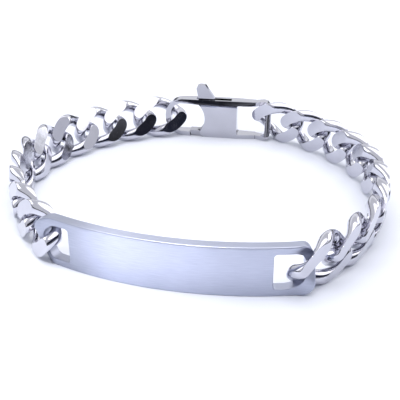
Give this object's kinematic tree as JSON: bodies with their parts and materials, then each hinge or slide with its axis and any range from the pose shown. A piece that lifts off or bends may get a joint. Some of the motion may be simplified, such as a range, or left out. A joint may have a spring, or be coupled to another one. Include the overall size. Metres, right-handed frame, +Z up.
{
  "type": "id bracelet",
  "caption": "Steel id bracelet lying closed on its side: curved plain plate in front, curb chain at both sides and a lever clasp at the back",
  "frame": {"origin": "on the ground, in the middle of the space the bracelet takes up seen from above", "axes": "X runs along the plate from left to right, Y from the plate at the front to the clasp at the back, Z up"},
  "size_m": [0.0714, 0.0662, 0.0119],
  "materials": {
    "satin_steel": "satin",
    "polished_steel": "polished"
  },
  "bodies": {
    "bracelet": {"plate": "satin_steel", "link_right_01": "polished_steel", "link_right_02": "polished_steel", "link_right_03": "polished_steel", "link_right_04": "polished_steel", "link_right_05": "polished_steel", "link_right_06": "polished_steel", "link_right_07": "polished_steel", "link_right_08": "polished_steel", "link_right_09": "polished_steel", "link_right_10": "polished_steel", "link_left_01": "polished_steel", "link_left_02": "polished_steel", "link_left_03": "polished_steel", "link_left_04": "polished_steel", "link_left_05": "polished_steel", "link_left_06": "polished_steel", "link_left_07": "polished_steel", "link_left_08": "polished_steel", "link_left_09": "polished_steel", "link_left_10": "polished_steel", "clasp_body": "polished_steel", "clasp_pin": "polished_steel"},
    "lever": {"clasp_lever": "polished_steel"}
  },
  "joints": [
    {"name": "lever_hinge", "type": "hinge", "parent": "bracelet", "child": "lever", "pos_m": [-0.00269, 0.02915, 0.0019], "axis": [-0.0733, 0.9973, 0], "range_deg": [0, 28], "stiffness_Nm_per_rad": 0.0002, "springref_deg": -17.19}
  ]
}
